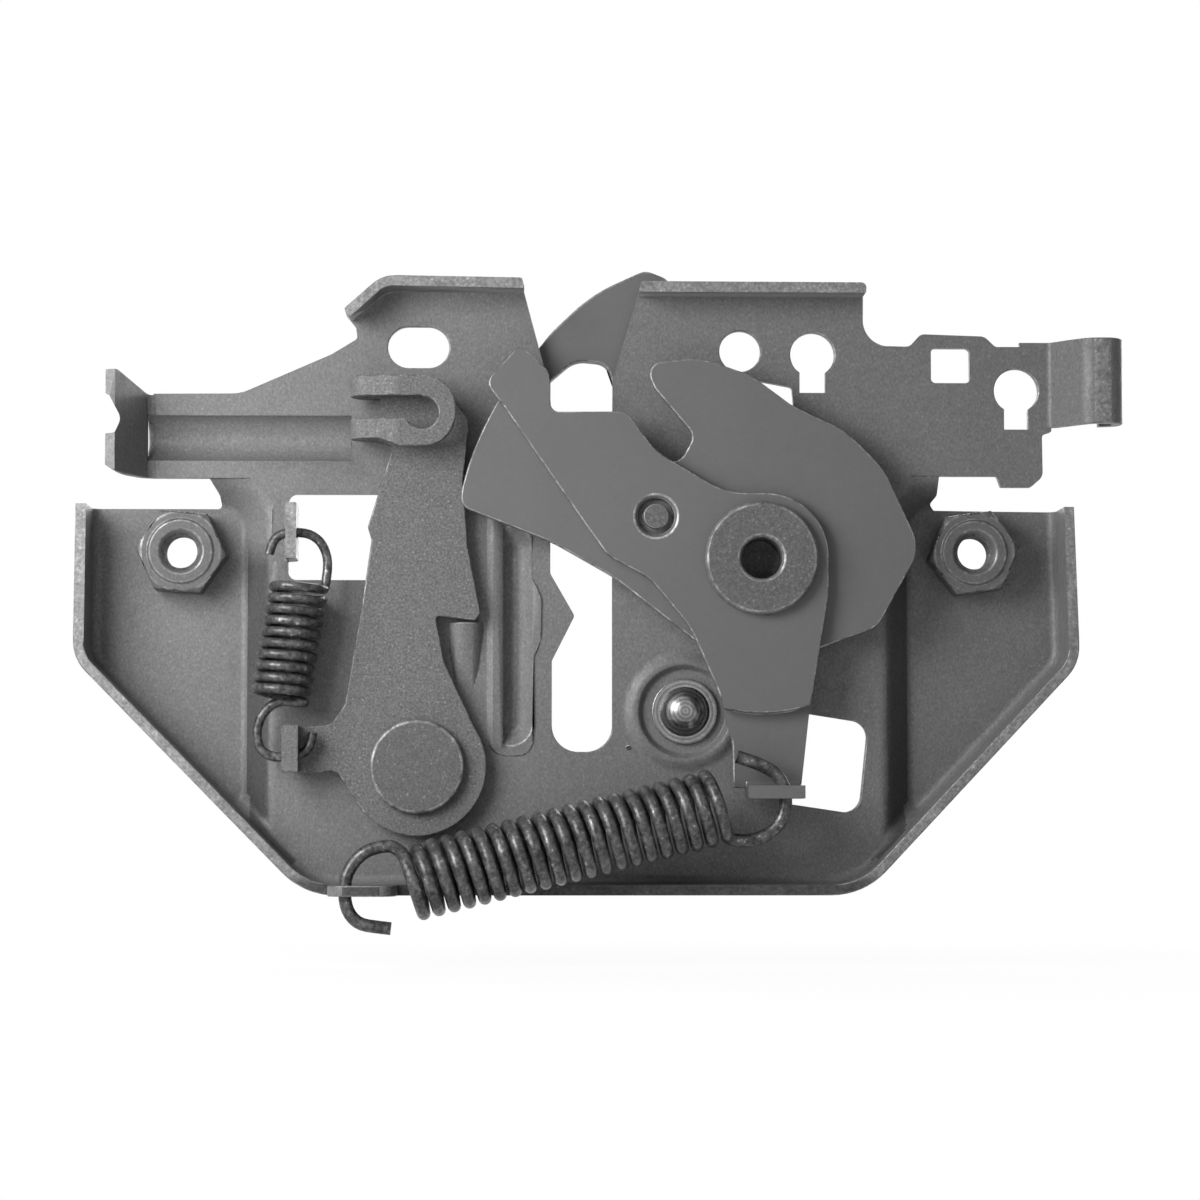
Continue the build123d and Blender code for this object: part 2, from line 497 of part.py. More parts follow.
with BuildPart() as lifter_plate:
    add(prism(lifter_outline, catch_front, lifter_front))
    add(prism(below_joggle, 0, -30) - disc(catch_x, catch_z, joggle_radius, 0, -30), mode=Mode.SUBTRACT)
    add((prism(lifter_outline, tail_back, tail_front) & prism(below_joggle, 0, -30)) -
        disc(catch_x, catch_z, joggle_radius, 0, -30))
    add((prism(lifter_outline, tail_back, lifter_front) & prism(below_joggle, 0, -30)) &
        (disc(catch_x, catch_z, joggle_radius, 0, -30) -
         disc(catch_x, catch_z, joggle_radius - lifter_thickness, 0, -30)))
    add(folded(Plane.YZ.offset(tail_tab_left),
               [(tail_back - lifter_thickness / 2, -40.0), (tail_back - lifter_thickness / 2, -45.4),
                (tail_tab_front, -45.4)], [2.2], lifter_thickness, tail_tab_right - tail_tab_left))
    with BuildSketch(Plane.XY.offset(-50)):
        with Locations((main_hole_x, main_end.Y)):
            Circle(main_wire / 2 + wire_clearance)
    extrude(amount=8, mode=Mode.SUBTRACT)
    add(disc(catch_x, catch_z, catch_bush_radius + bore_clearance, 0, -30), mode=Mode.SUBTRACT)
    add(turned(link_x, link_z, [(0, 0), (link_shank, 0), (link_shank, lifter_front + link_chamfer),
                                (link_shank + link_chamfer, lifter_front), (link_shank + link_chamfer, -30),
                                (0, -30)]), mode=Mode.SUBTRACT)
lifter_plate.part.label = "lifter_plate"
export_step(lifter_plate.part, "parts/lifter_plate.step")

# Link rivet: its shank fills the lifter's hole below the countersink, and its peg stands in the middle
link_floor = lifter_front + link_recess
with BuildPart() as link_rivet:
    add(turned(link_x, link_z, [(0, catch_back), (link_peg, catch_back), (link_peg, catch_front),
                                (link_shank, catch_front), (link_shank, link_floor), (link_peg, link_floor),
                                (link_peg, lifter_front - 0.1), (0, lifter_front - 0.1)]))
link_rivet.part.label = "link_rivet"
export_step(link_rivet.part, "parts/link_rivet.step")

# Pivot of the release lever: rivet, bush and thin washer
release_head_back = lever_front - head_gap
with BuildPart() as release_rivet:
    add(turned(release_x, release_z, [(0, main_back + rear_head_height),
                                      (rear_head_radius - 0.4, main_back + rear_head_height),
                                      (rear_head_radius, main_back), (release_shank, main_back),
                                      (release_shank, release_head_back), (release_head, release_head_back),
                                      (release_head, release_head_back - release_head_height + 0.4),
                                      (release_head - 0.4, release_head_back - release_head_height),
                                      (0, release_head_back - release_head_height)]))
release_rivet.part.label = "release_rivet"
export_step(release_rivet.part, "parts/release_rivet.step")

with BuildPart() as release_bush:
    add(disc(release_x, release_z, release_bush_radius, main_front, release_head_back) -
        disc(release_x, release_z, release_shank, 0, -20))
release_bush.part.label = "release_bush"
export_step(release_bush.part, "parts/release_bush.step")

with BuildPart() as release_washer:
    add(disc(release_x, release_z, release_head, main_front, lever_back) -
        disc(release_x, release_z, release_bush_radius, 0, -20))
release_washer.part.label = "release_washer"
export_step(release_washer.part, "parts/release_washer.step")

# Pivot of the catch: a drilled stud, a bush for both plates, and a spacer that carries them
catch_head_back = lifter_front - head_gap
catch_head_front = catch_head_back - catch_head_height
with BuildPart() as catch_pivot:
    add(turned(catch_x, catch_z, [(0, main_back + rear_head_height),
                                  (rear_head_radius - 0.4, main_back + rear_head_height),
                                  (rear_head_radius, main_back), (catch_shank, main_back),
                                  (catch_shank, catch_head_back), (catch_head, catch_head_back),
                                  (catch_head, catch_head_front + 0.5), (catch_head - 0.5, catch_head_front),
                                  (catch_bore + 0.5, catch_head_front), (catch_bore, catch_head_front + 0.5),
                                  (catch_bore, catch_head_front + catch_bore_depth),
                                  (0, catch_head_front + catch_bore_depth + 1.6)]))
catch_pivot.part.label = "catch_pivot"
export_step(catch_pivot.part, "parts/catch_pivot.step")

with BuildPart() as catch_bush:
    add(disc(catch_x, catch_z, catch_bush_radius, main_front, catch_head_back) -
        disc(catch_x, catch_z, catch_shank, 0, -20))
catch_bush.part.label = "catch_bush"
export_step(catch_bush.part, "parts/catch_bush.step")

with BuildPart() as catch_spacer:
    add(disc(catch_x, catch_z, catch_shoulder, main_front, catch_back + head_gap) -
        disc(catch_x, catch_z, catch_bush_radius, 0, -20))
catch_spacer.part.label = "catch_spacer"
export_step(catch_spacer.part, "parts/catch_spacer.step")

# Safety hook, behind the back plate
hook_outline = [(12.8, 54.3, 3.0), (2.6, 49.6, 30.0), (-5.0, 42.4, 20.0), (-9.6, 36.6, 1.2), (-6.4, 32.0, 1.6),
                (-0.6, 37.0, 5.0), (5.4, 36.4, 3.0), (9.4, 24.0, 10.0), (11.6, 2.0, 10.0), (12.6, -30.1, 0.3),
                (27.6, -30.1, 0.3), (24.6, -4.0, 20.0), (23.6, 36.0, 12.0), (17.2, 52.6, 3.0)]
mouth_lip = [(-7.6, 33.4, 0.4), (-6.4, 32.0, 0.6), (-0.6, 37.0, 5.0), (5.4, 36.4, 3.0), (8.0, 28.8, 0.3),
             (9.9, 29.4, 0.3), (7.0, 38.3, 4.5), (-1.4, 39.0, 6.5)]
lip_back = -0.3                 # the mouth's edge is turned back to here, to bear on the striker
with BuildPart() as safety_hook:
    add(prism(hook_outline, hook_back, hook_front))
    add(prism(mouth_lip, lip_back, hook_front))
    add(disc(safety_x, safety_z, safety_eye, hook_back, hook_front))
    add(disc(safety_x, safety_z, safety_shank + bore_clearance, 5, -10), mode=Mode.SUBTRACT)
safety_hook.part.label = "safety_hook"
export_step(safety_hook.part, "parts/safety_hook.step")

# Its pin, with a domed head on a bright washer in the dish
dish_floor = main_front + dish_depth
dome_base = dish_floor - safety_washer_thickness
pin_end = hook_back + 2 * head_gap + hairpin_wire
rear_pin_head = -pin_end
dome_sphere = (safety_dome ** 2 + safety_dome_height ** 2) / (2 * safety_dome_height)
with BuildPart() as safety_pin:
    with Locations((safety_x, dome_base - safety_dome_height + dome_sphere, safety_z)):
        Sphere(dome_sphere)
    add(prism([(-90, -90, 1), (-90, 90, 1), (90, 90, 1), (90, -90, 1)], 20, dome_base), mode=Mode.SUBTRACT)
    add(turned(safety_x, safety_z, [(0, dome_base - 0.1), (0, pin_end + rear_pin_head),
                                    (5.6, pin_end + rear_pin_head), (5.6, pin_end), (safety_shank, pin_end),
                                    (safety_shank, dome_base - 0.1)]))
safety_pin.part.label = "safety_pin"
export_step(safety_pin.part, "parts/safety_pin.step")

with BuildPart() as safety_washer:
    add(disc(safety_x, safety_z, safety_washer_radius, dish_floor, dome_base) -
        disc(safety_x, safety_z, safety_shank, 0, -20))
safety_washer.part.label = "safety_washer"
export_step(safety_washer.part, "parts/safety_washer.step")

# Hairpin spring round the pin: one leg hooks into the plate, the other bears on the hook's edge
hairpin_y = hook_back + head_gap + hairpin_wire / 2
with BuildPart() as safety_spring:
    with BuildSketch(Plane(origin=(safety_x, 0, safety_z), x_dir=(1, 0, 0), z_dir=(0, 0, 1))):
        with Locations((hairpin_radius, hairpin_y)):
            Circle(hairpin_wire / 2)
    revolve(axis=Axis((safety_x, 0, safety_z), (0, 1, 0)))
    add(bent_wire([(safety_x, hairpin_y, safety_z - hairpin_radius), (hairpin_foot_x, hairpin_y, hairpin_foot_z),
                   (hairpin_foot_x, main_front + 0.3, hairpin_foot_z)], [1.0], hairpin_wire))
    add(bent_wire([(safety_x + hairpin_radius, hairpin_y, safety_z), (safety_x + 6.6, hairpin_y, safety_z + 18),
                   (safety_x + 6.6, hook_front - head_gap, safety_z + 18.2)], [0.8], hairpin_wire))
safety_spring.part.label = "safety_spring"
export_step(safety_spring.part, "parts/safety_spring.step")

# Main spring, from the tongue to the lifter's tail
up = Vector(0, 0, 1)
main_axis = (main_end - main_start).normalized()
main_up = (up - main_axis * up.dot(main_axis)).normalized()
main_first = main_start + main_up * main_coil_radius
main_last = main_end - main_up * main_coil_radius
with BuildPart() as main_spring:
    add(coil(main_start, main_end, up, main_turns, main_coil_radius, main_wire))
    add(bent_wire([main_first + main_axis * 0.8, (-37.6, main_start.Y, -55.0), (-43.2, main_start.Y, -60.4),
                   (-43.2, main_start.Y, -66.4), (-40.6, main_start.Y, -69.9), (-34.7, main_start.Y, -70.5)],
                  [4.5, 5.0, 3.2, 2.5], main_wire))
    add(bent_wire([main_last - main_axis * 0.8, (35.0, main_end.Y, -54.4), (38.4, main_end.Y, -49.6),
                   (37.9, main_end.Y, -43.2), (34.0, main_end.Y, -40.4), (29.2, main_end.Y, -38.8)],
                  [3.0, 3.0, 3.0, 2.5], main_wire))
main_spring.part.label = "main_spring"
export_step(main_spring.part, "parts/main_spring.step")

# Return spring, from the plate's tab down to the release lever's tab
return_axis = (return_end - return_start).normalized()
right = Vector(1, 0, 0)
return_side = (right - return_axis * right.dot(return_axis)).normalized()
return_first = return_start + return_side * return_coil_radius
return_last = return_end + return_side * return_coil_radius
with BuildPart() as return_spring:
    add(coil(return_start, return_end, right, return_turns, return_coil_radius, return_wire))
    add(bent_wire([return_first, (-46.6, return_depth, -1.4), (-48.4, return_depth, 3.0),
                   (-55.6, return_depth, 3.0), (-58.2, return_depth, -0.9)], [2.4, 2.2, 2.0], return_wire))
    add(bent_wire([return_last, (-57.6, return_depth, -28.0), (-61.0, return_depth, -34.0),
                   (-58.6, return_depth, lever_hole_z), (-50.0, return_depth, lever_hole_z),
                   (-49.7, return_depth, -34.3)], [3.0, 2.2, 2.0, 1.5], return_wire))
return_spring.part.label = "return_spring"
export_step(return_spring.part, "parts/return_spring.step")

for node in [base_plate, *nuts, release_lever, catch_plate, lifter_plate, link_rivet, release_rivet, release_bush,
             release_washer, catch_pivot, catch_bush, catch_spacer, safety_hook, safety_pin, safety_washer,
             safety_spring, main_spring, return_spring]:
    print(node.part.label, len(node.part.solids()), round(node.part.volume))
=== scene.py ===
import json
import math
import bpy
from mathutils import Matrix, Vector


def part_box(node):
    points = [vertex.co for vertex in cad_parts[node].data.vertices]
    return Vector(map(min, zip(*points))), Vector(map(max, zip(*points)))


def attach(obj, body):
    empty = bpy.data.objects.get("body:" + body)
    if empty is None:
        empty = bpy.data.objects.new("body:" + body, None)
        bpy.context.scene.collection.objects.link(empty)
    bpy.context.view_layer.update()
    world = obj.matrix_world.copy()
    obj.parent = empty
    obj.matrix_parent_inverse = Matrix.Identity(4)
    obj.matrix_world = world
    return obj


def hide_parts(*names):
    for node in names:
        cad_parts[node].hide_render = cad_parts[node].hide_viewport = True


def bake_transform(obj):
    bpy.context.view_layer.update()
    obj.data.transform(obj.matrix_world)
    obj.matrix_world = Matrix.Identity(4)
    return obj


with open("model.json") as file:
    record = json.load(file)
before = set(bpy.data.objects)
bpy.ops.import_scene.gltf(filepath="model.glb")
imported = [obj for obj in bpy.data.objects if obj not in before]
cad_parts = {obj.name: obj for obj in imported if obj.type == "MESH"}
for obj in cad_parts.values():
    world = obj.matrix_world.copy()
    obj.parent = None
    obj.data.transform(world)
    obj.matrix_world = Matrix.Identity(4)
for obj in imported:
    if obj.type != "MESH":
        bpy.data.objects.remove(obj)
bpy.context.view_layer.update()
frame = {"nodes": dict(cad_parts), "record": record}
nodes = frame["nodes"]
mm = 0.001

# The picture, in millimetres
view = {
    "eye": (-13.0, -707.0, -52.0),       # below and left of the middle, as the tray's walls show
    "target": (4.1, -7.0, -9.0),
    "frameWidth": 227.0,                 # across the picture at the plate
    "sensor": 36.0,
    "clipStart": 10.0,
}
lamps = {
    "key": {"place": (-225.0, -225.0, 90.0), "size": 200.0, "power": 1.6},
    "fill": {"place": (240.0, -640.0, 60.0), "size": 400.0, "power": 0.15},
    "rim": {"place": (-160.0, -300.0, 560.0), "size": 400.0, "power": 0.06},
    "back": {"place": (180.0, 470.0, 260.0), "size": 500.0, "power": 3.4},
}
worldStrength = 0.05                     # what lights the latch; the background itself is white


def clearSelection():
    if bpy.context.object and bpy.context.object.mode != "OBJECT":
        bpy.ops.object.mode_set(mode="OBJECT")
    bpy.ops.object.select_all(action="DESELECT")


def pick(piece):
    clearSelection()
    piece.select_set(True)
    bpy.context.view_layer.objects.active = piece


def settle(piece):
    pick(piece)
    bpy.ops.object.transform_apply(location=True, rotation=True, scale=True)


def aimAt(thing, target):
    thing.rotation_euler = (target - thing.location).to_track_quat("-Z", "Y").to_euler()


# Shader arithmetic that the world, the floor and the finishes share
def ranged(tree, value, low, high, toLow, toHigh):
    span = tree.nodes.new("ShaderNodeMapRange")
    span.inputs["From Min"].default_value = low
    span.inputs["From Max"].default_value = high
    span.inputs["To Min"].default_value = toLow
    span.inputs["To Max"].default_value = toHigh
    tree.links.new(value, span.inputs["Value"])
    return span.outputs["Result"]


def joined(tree, first, second, kind):
    sums = tree.nodes.new("ShaderNodeMath")
    sums.operation = kind
    tree.links.new(first, sums.inputs[0])
    tree.links.new(second, sums.inputs[1])
    return sums.outputs[0]


# Camera and lamps
target = Vector(view["target"]) * mm
bpy.ops.object.camera_add(location=Vector(view["eye"]) * mm)
camera = bpy.context.object
aimAt(camera, target)
distance = (target - camera.location).length
camera.data.sensor_width = view["sensor"]
camera.data.lens = view["sensor"] * distance / (view["frameWidth"] * mm)
camera.data.clip_start = view["clipStart"] * mm
bpy.context.scene.camera = camera

for side, look in lamps.items():
    bpy.ops.object.light_add(type="AREA", location=Vector(look["place"]) * mm)
    lamp = bpy.context.object
    lamp.name = side + "Lamp"
    lamp.data.size = look["size"] * mm
    lamp.data.energy = look["power"]
    aimAt(lamp, target)

# World, white where the camera, a reflection or a transmission sees it
world = bpy.context.scene.world or bpy.data.worlds.new("studio")
bpy.context.scene.world = world
world.use_nodes = True
tree = world.node_tree
tree.nodes.clear()
rayKind = tree.nodes.new("ShaderNodeLightPath").outputs
seen = joined(tree, rayKind["Is Camera Ray"], rayKind["Is Glossy Ray"], "MAXIMUM")
seen = joined(tree, seen, rayKind["Is Transmission Ray"], "MAXIMUM")
sky = tree.nodes.new("ShaderNodeBackground")
sky.inputs["Color"].default_value = (1.0, 1.0, 1.0, 1.0)
tree.links.new(ranged(tree, seen, 0.0, 1.0, worldStrength, 1.0), sky.inputs["Strength"])
skyOut = tree.nodes.new("ShaderNodeOutputWorld")
tree.links.new(sky.outputs[0], skyOut.inputs["Surface"])
bpy.context.scene.view_settings.view_transform = "Standard"

# Floor, white where it is seen, with a faint shadow that fades out away from the latch
floorLook = {
    "height": -78.0, "size": 6000.0,
    "shade": 0.93,
    "whiteBelow": 0.93,                  # how much of it glows white right under the latch
    "fadeFrom": 60.0, "fadeTo": 200.0,
}
bpy.ops.mesh.primitive_plane_add(size=floorLook["size"] * mm,
                                 location=(0.0, 0.0, floorLook["height"] * mm))
floor = bpy.context.object
floor.name = "floor"
floorPaint = bpy.data.materials.new("paleFloor")
floorPaint.use_nodes = True
tree = floorPaint.node_tree
tree.nodes.clear()
matt = tree.nodes.new("ShaderNodeBsdfDiffuse")
matt.inputs["Color"].default_value = [floorLook["shade"]] * 3 + [1.0]
glow = tree.nodes.new("ShaderNodeEmission")
glow.inputs["Color"].default_value = (1.0, 1.0, 1.0, 1.0)
glow.inputs["Strength"].default_value = 1.0
rayKind = tree.nodes.new("ShaderNodeLightPath").outputs
where = tree.nodes.new("ShaderNodeTexCoord")
reach = tree.nodes.new("ShaderNodeVectorMath")
reach.operation = "LENGTH"
tree.links.new(where.outputs["Object"], reach.inputs[0])
fade = ranged(tree, reach.outputs["Value"], floorLook["fadeFrom"] * mm, floorLook["fadeTo"] * mm,
              floorLook["whiteBelow"], 1.0)
seen = joined(tree, rayKind["Is Camera Ray"], rayKind["Is Glossy Ray"], "MAXIMUM")
mixed = tree.nodes.new("ShaderNodeMixShader")
tree.links.new(joined(tree, seen, fade, "MULTIPLY"), mixed.inputs["Fac"])
tree.links.new(matt.outputs[0], mixed.inputs[1])
tree.links.new(glow.outputs[0], mixed.inputs[2])
floorOut = tree.nodes.new("ShaderNodeOutputMaterial")
tree.links.new(mixed.outputs[0], floorOut.inputs["Surface"])
floor.data.materials.append(floorPaint)
print("stage set")


# What all the coatings have in common
coat = {
    "gloss": 0.22,
    "coolness": 1.01,                    # a trace more blue than grey
    "cloudScale": 34.0, "cloudDetail": 5.0,
    "fineDetail": 3.0,
    "mottleShare": 0.22, "mottleDetail": 4.0,
    "soften": 0.62,                      # roughness of the noise itself
    "wide": (0.3, 0.7), "tight": (0.32, 0.68), "dotted": (0.655, 0.72),
    "duller": 0.1, "shinier": 0.08,
    "dentDepth": 0.12,
    "ringWaver": 0.6,
}


# Specks: how fine they are, how strong the fine grain, the mottle, the clouds and the bright dots
def specked(size, depth, mottle, clouds, dots=0.0):
    return {"size": size, "depth": depth, "mottle": mottle, "clouds": clouds, "dots": dots}


# Each finish has clouds of tone, fine specks, a grain and its own dents
def steel(name, tone, specks, metallic, rough, dents, grain=(1.0, 1.0, 1.0), rings=None, paintedShade=None):
    paint = bpy.data.materials.new(name)
    paint.use_nodes = True
    tree = paint.node_tree
    shader = tree.nodes["Principled BSDF"]
    shader.inputs["Metallic"].default_value = metallic
    shader.inputs["Specular IOR Level"].default_value = coat["gloss"]
    place = tree.nodes.new("ShaderNodeTexCoord")
    stretch = tree.nodes.new("ShaderNodeMapping")
    stretch.inputs["Scale"].default_value = grain
    tree.links.new(place.outputs["Object"], stretch.inputs["Vector"])

    def noise(size, detail, along):
        field = tree.nodes.new("ShaderNodeTexNoise")
        field.inputs["Scale"].default_value = size
        field.inputs["Detail"].default_value = detail
        field.inputs["Roughness"].default_value = coat["soften"]
        tree.links.new(along, field.inputs["Vector"])
        return field.outputs["Fac"]

    def varied(value, span, amount):
        return ranged(tree, value, span[0], span[1], 1.0 - amount, 1.0 + amount)

    clouds = noise(coat["cloudScale"], coat["cloudDetail"], place.outputs["Object"])
    fine = noise(specks["size"], coat["fineDetail"], stretch.outputs["Vector"])
    mottle = noise(specks["size"] * coat["mottleShare"], coat["mottleDetail"], stretch.outputs["Vector"])
    shade = joined(tree, varied(clouds, coat["wide"], specks["clouds"]),
                   varied(fine, coat["tight"], specks["depth"]), "MULTIPLY")
    shade = joined(tree, shade, varied(mottle, coat["wide"], specks["mottle"]), "MULTIPLY")
    dots = ranged(tree, fine, coat["dotted"][0], coat["dotted"][1], 0.0, specks["dots"])
    shade = joined(tree, shade, dots, "ADD")
    if rings:
        centred = tree.nodes.new("ShaderNodeMapping")
        centred.inputs["Location"].default_value = [-value * mm for value in rings["centre"]]
        centred.inputs["Scale"].default_value = (1.0, 0.0, 1.0)
        tree.links.new(place.outputs["Object"], centred.inputs["Vector"])
        turned = tree.nodes.new("ShaderNodeTexWave")
        turned.wave_type = "RINGS"
        turned.rings_direction = "SPHERICAL"
        turned.inputs["Scale"].default_value = rings["scale"]
        turned.inputs["Distortion"].default_value = coat["ringWaver"]
        tree.links.new(centred.outputs["Vector"], turned.inputs["Vector"])
        shade = joined(tree, shade, varied(turned.outputs["Fac"], (0.0, 1.0), rings["depth"]), "MULTIPLY")
    # Painted shade: the colour darkens where the surface tilts away from facing forward, below a height,
    # fading back to full tone above it
    if paintedShade:
        facing = tree.nodes.new("ShaderNodeSeparateXYZ")
        tree.links.new(place.outputs["Normal"], facing.inputs[0])
        spot = tree.nodes.new("ShaderNodeSeparateXYZ")
        tree.links.new(place.outputs["Object"], spot.inputs[0])
        darker = ranged(tree, facing.outputs["Y"], paintedShade["flat"], paintedShade["steep"], 1.0, paintedShade["shade"])
        faded = ranged(tree, spot.outputs["Z"], paintedShade["fadeFrom"] * mm, paintedShade["fadeTo"] * mm, 0.0, 1.0)
        shade = joined(tree, shade, joined(tree, darker, faded, "MAXIMUM"), "MULTIPLY")
    painted = tree.nodes.new("ShaderNodeVectorMath")
    painted.operation = "SCALE"
    painted.inputs[0].default_value = (tone, tone, tone * coat["coolness"])
    tree.links.new(shade, painted.inputs["Scale"])
    tree.links.new(painted.outputs["Vector"], shader.inputs["Base Color"])
    sheen = ranged(tree, mottle, coat["wide"][0], coat["wide"][1],
                   rough + coat["duller"], rough - coat["shinier"])
    tree.links.new(sheen, shader.inputs["Roughness"])
    hollows = tree.nodes.new("ShaderNodeBump")
    hollows.inputs["Strength"].default_value = dents
    hollows.inputs["Distance"].default_value = coat["dentDepth"] * mm
    tree.links.new(fine, hollows.inputs["Height"])
    tree.links.new(hollows.outputs["Normal"], shader.inputs["Normal"])
    return paint


plateCoat = {
    "tone": 0.14, "specks": specked(2600.0, 0.22, 0.05, 0.06, 0.4),
    "metallic": 0.08, "rough": 0.42, "dents": 0.45, "grain": (1.0, 1.0, 0.7),
}
pinRings = {"centre": (20.1, 0.0, -30.1), "scale": 420.0, "depth": 0.3}      # turned on a lathe
finishes = {
    "plate_steel": steel("plateCoating", **plateCoat),
    "lever_steel": steel("leverPhosphate", 0.115, specked(2300.0, 0.36, 0.06, 0.05, 1.2),
                         metallic=0.05, rough=0.52, dents=0.6),
    "catch_steel": steel("catchCoating", 0.118, specked(2600.0, 0.05, 0.02, 0.04),
                         metallic=0.08, rough=0.46, dents=0.08),
    "nut_steel": steel("nutZinc", 0.1, specked(2400.0, 0.16, 0.05, 0.05, 0.4),
                       metallic=0.25, rough=0.38, dents=0.3),
    "rivet_steel": steel("rivetCoating", 0.1, specked(2300.0, 0.28, 0.05, 0.05, 1.6),
                         metallic=0.1, rough=0.46, dents=0.4),
    "bush_steel": steel("bushSteel", 0.25, specked(1800.0, 0.12, 0.08, 0.05),
                        metallic=0.8, rough=0.35, dents=0.1),
    "pin_steel": steel("pinSteel", 0.19, specked(1500.0, 0.14, 0.12, 0.05, 0.6),
                       metallic=0.85, rough=0.27, dents=0.2, rings=pinRings),
    "spring_steel": steel("springSteel", 0.075, specked(1150.0, 0.62, 0.45, 0.1, 2.8),
                          metallic=0.4, rough=0.32, dents=0.7),
}
worn = {
    "plate_steel": steel("plateWornEdge", 0.19, specked(1600.0, 0.4, 0.4, 0.2, 0.6),
                         metallic=0.4, rough=0.42, dents=0.4),
    "lever_steel": steel("leverWornEdge", 0.16, specked(1500.0, 0.45, 0.5, 0.2, 1.4),
                         metallic=0.3, rough=0.45, dents=0.6),
    "catch_steel": steel("catchWornEdge", 0.23, specked(1400.0, 0.4, 0.6, 0.2, 1.2),
                         metallic=0.4, rough=0.4, dents=0.3),
    "nut_steel": steel("nutWornEdge", 0.14, specked(1500.0, 0.3, 0.4, 0.2, 0.8),
                       metallic=0.4, rough=0.4, dents=0.3),
    "rivet_steel": steel("rivetWornEdge", 0.17, specked(1500.0, 0.4, 0.6, 0.2, 1.4),
                         metallic=0.35, rough=0.42, dents=0.3),
    "pin_steel": steel("pinWornEdge", 0.26, specked(1500.0, 0.1, 0.1, 0.1),
                       metallic=0.85, rough=0.26, dents=0.1),
    "bush_steel": steel("bushWornEdge", 0.3, specked(1500.0, 0.1, 0.1, 0.1),
                        metallic=0.8, rough=0.3, dents=0.1),
}

# The flanges' front faces are sheared and paler than the pressed sheet, with painted shade along the
# bottom
shearedEdgeAndPaintedShade = steel("plateShearedEdgePaintedShade", 0.19, specked(1700.0, 0.34, 0.2, 0.1, 0.8),
                    metallic=0.15, rough=0.48, dents=0.6,
                    paintedShade={"flat": -2.0, "steep": -1.0, "shade": 0.3, "fadeFrom": -63.2, "fadeTo": -60.5})
# The slopes that step from the wings to the middle carry painted shade: darker the more they tilt, fading
# out towards the top
paintedShadeStep = steel("platePaintedShadeStep", **plateCoat,
                  paintedShade={"flat": -0.995, "steep": -0.86, "shade": 0.46, "fadeFrom": -7.0, "fadeTo": 2.5})
plateFaces = {
    "shearedBeyond": -14.3, "shearedFacing": -0.95,
    "stepInner": 43.0, "stepOuter": 62.0, "stepBottom": -58.0, "stepTop": 3.0, "stepFacing": -0.3,
}
faceOf = {"coated": 0, "worn": 1, "sheared": 2, "paintedShade": 3}                  # material indices

slotOf = {part["node"]: part["material_slot"] for part in frame["record"]["subparts"]}
bodyOf = {}
for body, members in frame["record"]["behaviour"]["bodies"].items():
    for member in members:
        bodyOf[member] = body


def dress(piece, *paints):
    piece.data.materials.clear()
    for paint in paints:
        piece.data.materials.append(paint)


def finishPlate(mesh):
    mesh.materials.append(shearedEdgeAndPaintedShade)
    mesh.materials.append(paintedShadeStep)
    for face in mesh.polygons:
        across = abs(face.center.x) / mm
        height = face.center.z / mm
        forward = face.center.y < plateFaces["shearedBeyond"] * mm
        inStep = (plateFaces["stepInner"] < across < plateFaces["stepOuter"]
                  and plateFaces["stepBottom"] < height < plateFaces["stepTop"]
                  and face.normal.y < plateFaces["stepFacing"])
        # Flange front faces get the sheared finish with painted shade along the bottom; faces on the step
        # slopes get the painted-shade slope finish
        if forward and face.normal.y < plateFaces["shearedFacing"]:
            face.material_index = faceOf["sheared"]
        elif inStep and face.material_index == faceOf["coated"]:
            face.material_index = faceOf["paintedShade"]


# Each stamped or turned piece has its sharp edges rolled over a little, and worn bright there
def rolledBy(width, steps=2, merge=0.03, shortest=0.0, turn=0.0):
    return {"width": width, "steps": steps, "merge": merge, "shortest": shortest, "turn": turn}


edges = {
    "base_plate": rolledBy(0.22, merge=0.004, shortest=0.3),
    "release_lever": rolledBy(0.25),
    "catch_plate": rolledBy(0.25),
    "lifter_plate": rolledBy(0.25),
    "safety_hook": rolledBy(0.3),
    "weld_nut_left": rolledBy(0.25, turn=25.0),      # welded on with a corner nearly level
    "weld_nut_right": rolledBy(0.25, turn=33.0),
    "release_rivet": rolledBy(0.3, steps=3),
    "catch_pivot": rolledBy(0.25),
    "link_rivet": rolledBy(0.15),
    "safety_washer": rolledBy(0.15),
    "catch_spacer": rolledBy(0.2),
}
flatWithin = math.radians(0.6)
sharpBeyond = math.radians(28.0)
smoothWithin = math.radians(50.0)
doubledBack = 0.3                        # arms whose directions agree more than this double back


# Weighs only the selected sharp edges that run on past both ends without doubling back
def weighRuns(mesh, shortest):
    sharp = [edge for edge in mesh.edges if edge.select]
    meeting = {}
    for edge in sharp:
        for corner in edge.vertices:
            meeting.setdefault(corner, []).append(edge)

    def runsOn(corner):
        if len(meeting[corner]) != 2:
            return False
        here = mesh.vertices[corner].co
        arms = []
        for edge in meeting[corner]:
            far = edge.vertices[0] if edge.vertices[1] == corner else edge.vertices[1]
            arms.append(mesh.vertices[far].co - here)
        if min(arm.length for arm in arms) < shortest:
            return False
        return arms[0].normalized().dot(arms[1].normalized()) < doubledBack

    weights = mesh.attributes.new("bevel_weight_edge", "FLOAT", "EDGE")
    for edge in sharp:
        if all(runsOn(corner) for corner in edge.vertices):
            weights.data[edge.index].value = 1.0


